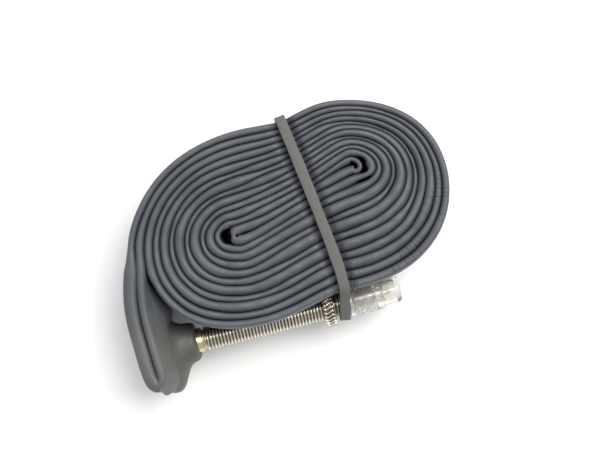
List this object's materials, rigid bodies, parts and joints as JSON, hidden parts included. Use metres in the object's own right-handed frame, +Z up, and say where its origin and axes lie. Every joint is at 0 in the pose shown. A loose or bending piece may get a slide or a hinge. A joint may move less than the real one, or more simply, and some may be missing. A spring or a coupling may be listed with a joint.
{
  "type": "bicycle inner tube",
  "caption": "Deflated butyl bicycle inner tube, pressed flat, rolled into an oval and held by a rubber band, with a slim threaded valve, ring nut and clear cap.",
  "frame": {"origin": "under the middle of the whole object, on the surface that the roll's folded edge lies on", "axes": "+X along the roll's longest side, away from the valve's rubber foot; +Y across the roll, away from the valve; +Z up, across the flat tube's width"},
  "size_m": [0.0752, 0.0692, 0.025],
  "materials": {
    "butyl": "matt butyl with a trace of talc",
    "moulded_rubber": "matt moulded rubber",
    "band_rubber": "matt, speckled",
    "seal": "matt",
    "brass": "satin",
    "nickel": "bright nickel plate",
    "clear_plastic": "clear"
  },
  "bodies": {
    "tube": {"tube_body": "butyl", "rubber_band": "band_rubber", "valve_base": "moulded_rubber", "foot_washer": "brass", "valve_stem": "brass", "core_body": "nickel", "core_thread_seal": "seal"},
    "rim_nut": {"rim_nut": "nickel"},
    "dust_cap": {"dust_cap": "clear_plastic"},
    "core_pin": {"core_pin": "brass", "core_seal": "seal"},
    "core_nut": {"core_nut": "nickel"}
  },
  "joints": [
    {"name": "rim_nut_run", "type": "slide", "parent": "tube", "child": "rim_nut", "axis": [0.9681, 0.2504, 0], "range_m": [-0.0285, 0]},
    {"name": "dust_cap_pull", "type": "slide", "parent": "tube", "child": "dust_cap", "axis": [0.9681, 0.2504, 0], "range_m": [0, 0.014]},
    {"name": "core_pin_press", "type": "slide", "parent": "tube", "child": "core_pin", "axis": [0.9681, 0.2504, 0], "range_m": [-0.0015, 0]},
    {"name": "core_nut_loosen", "type": "slide", "parent": "tube", "child": "core_nut", "axis": [0.9681, 0.2504, 0], "range_m": [0, 0.0016]}
  ]
}
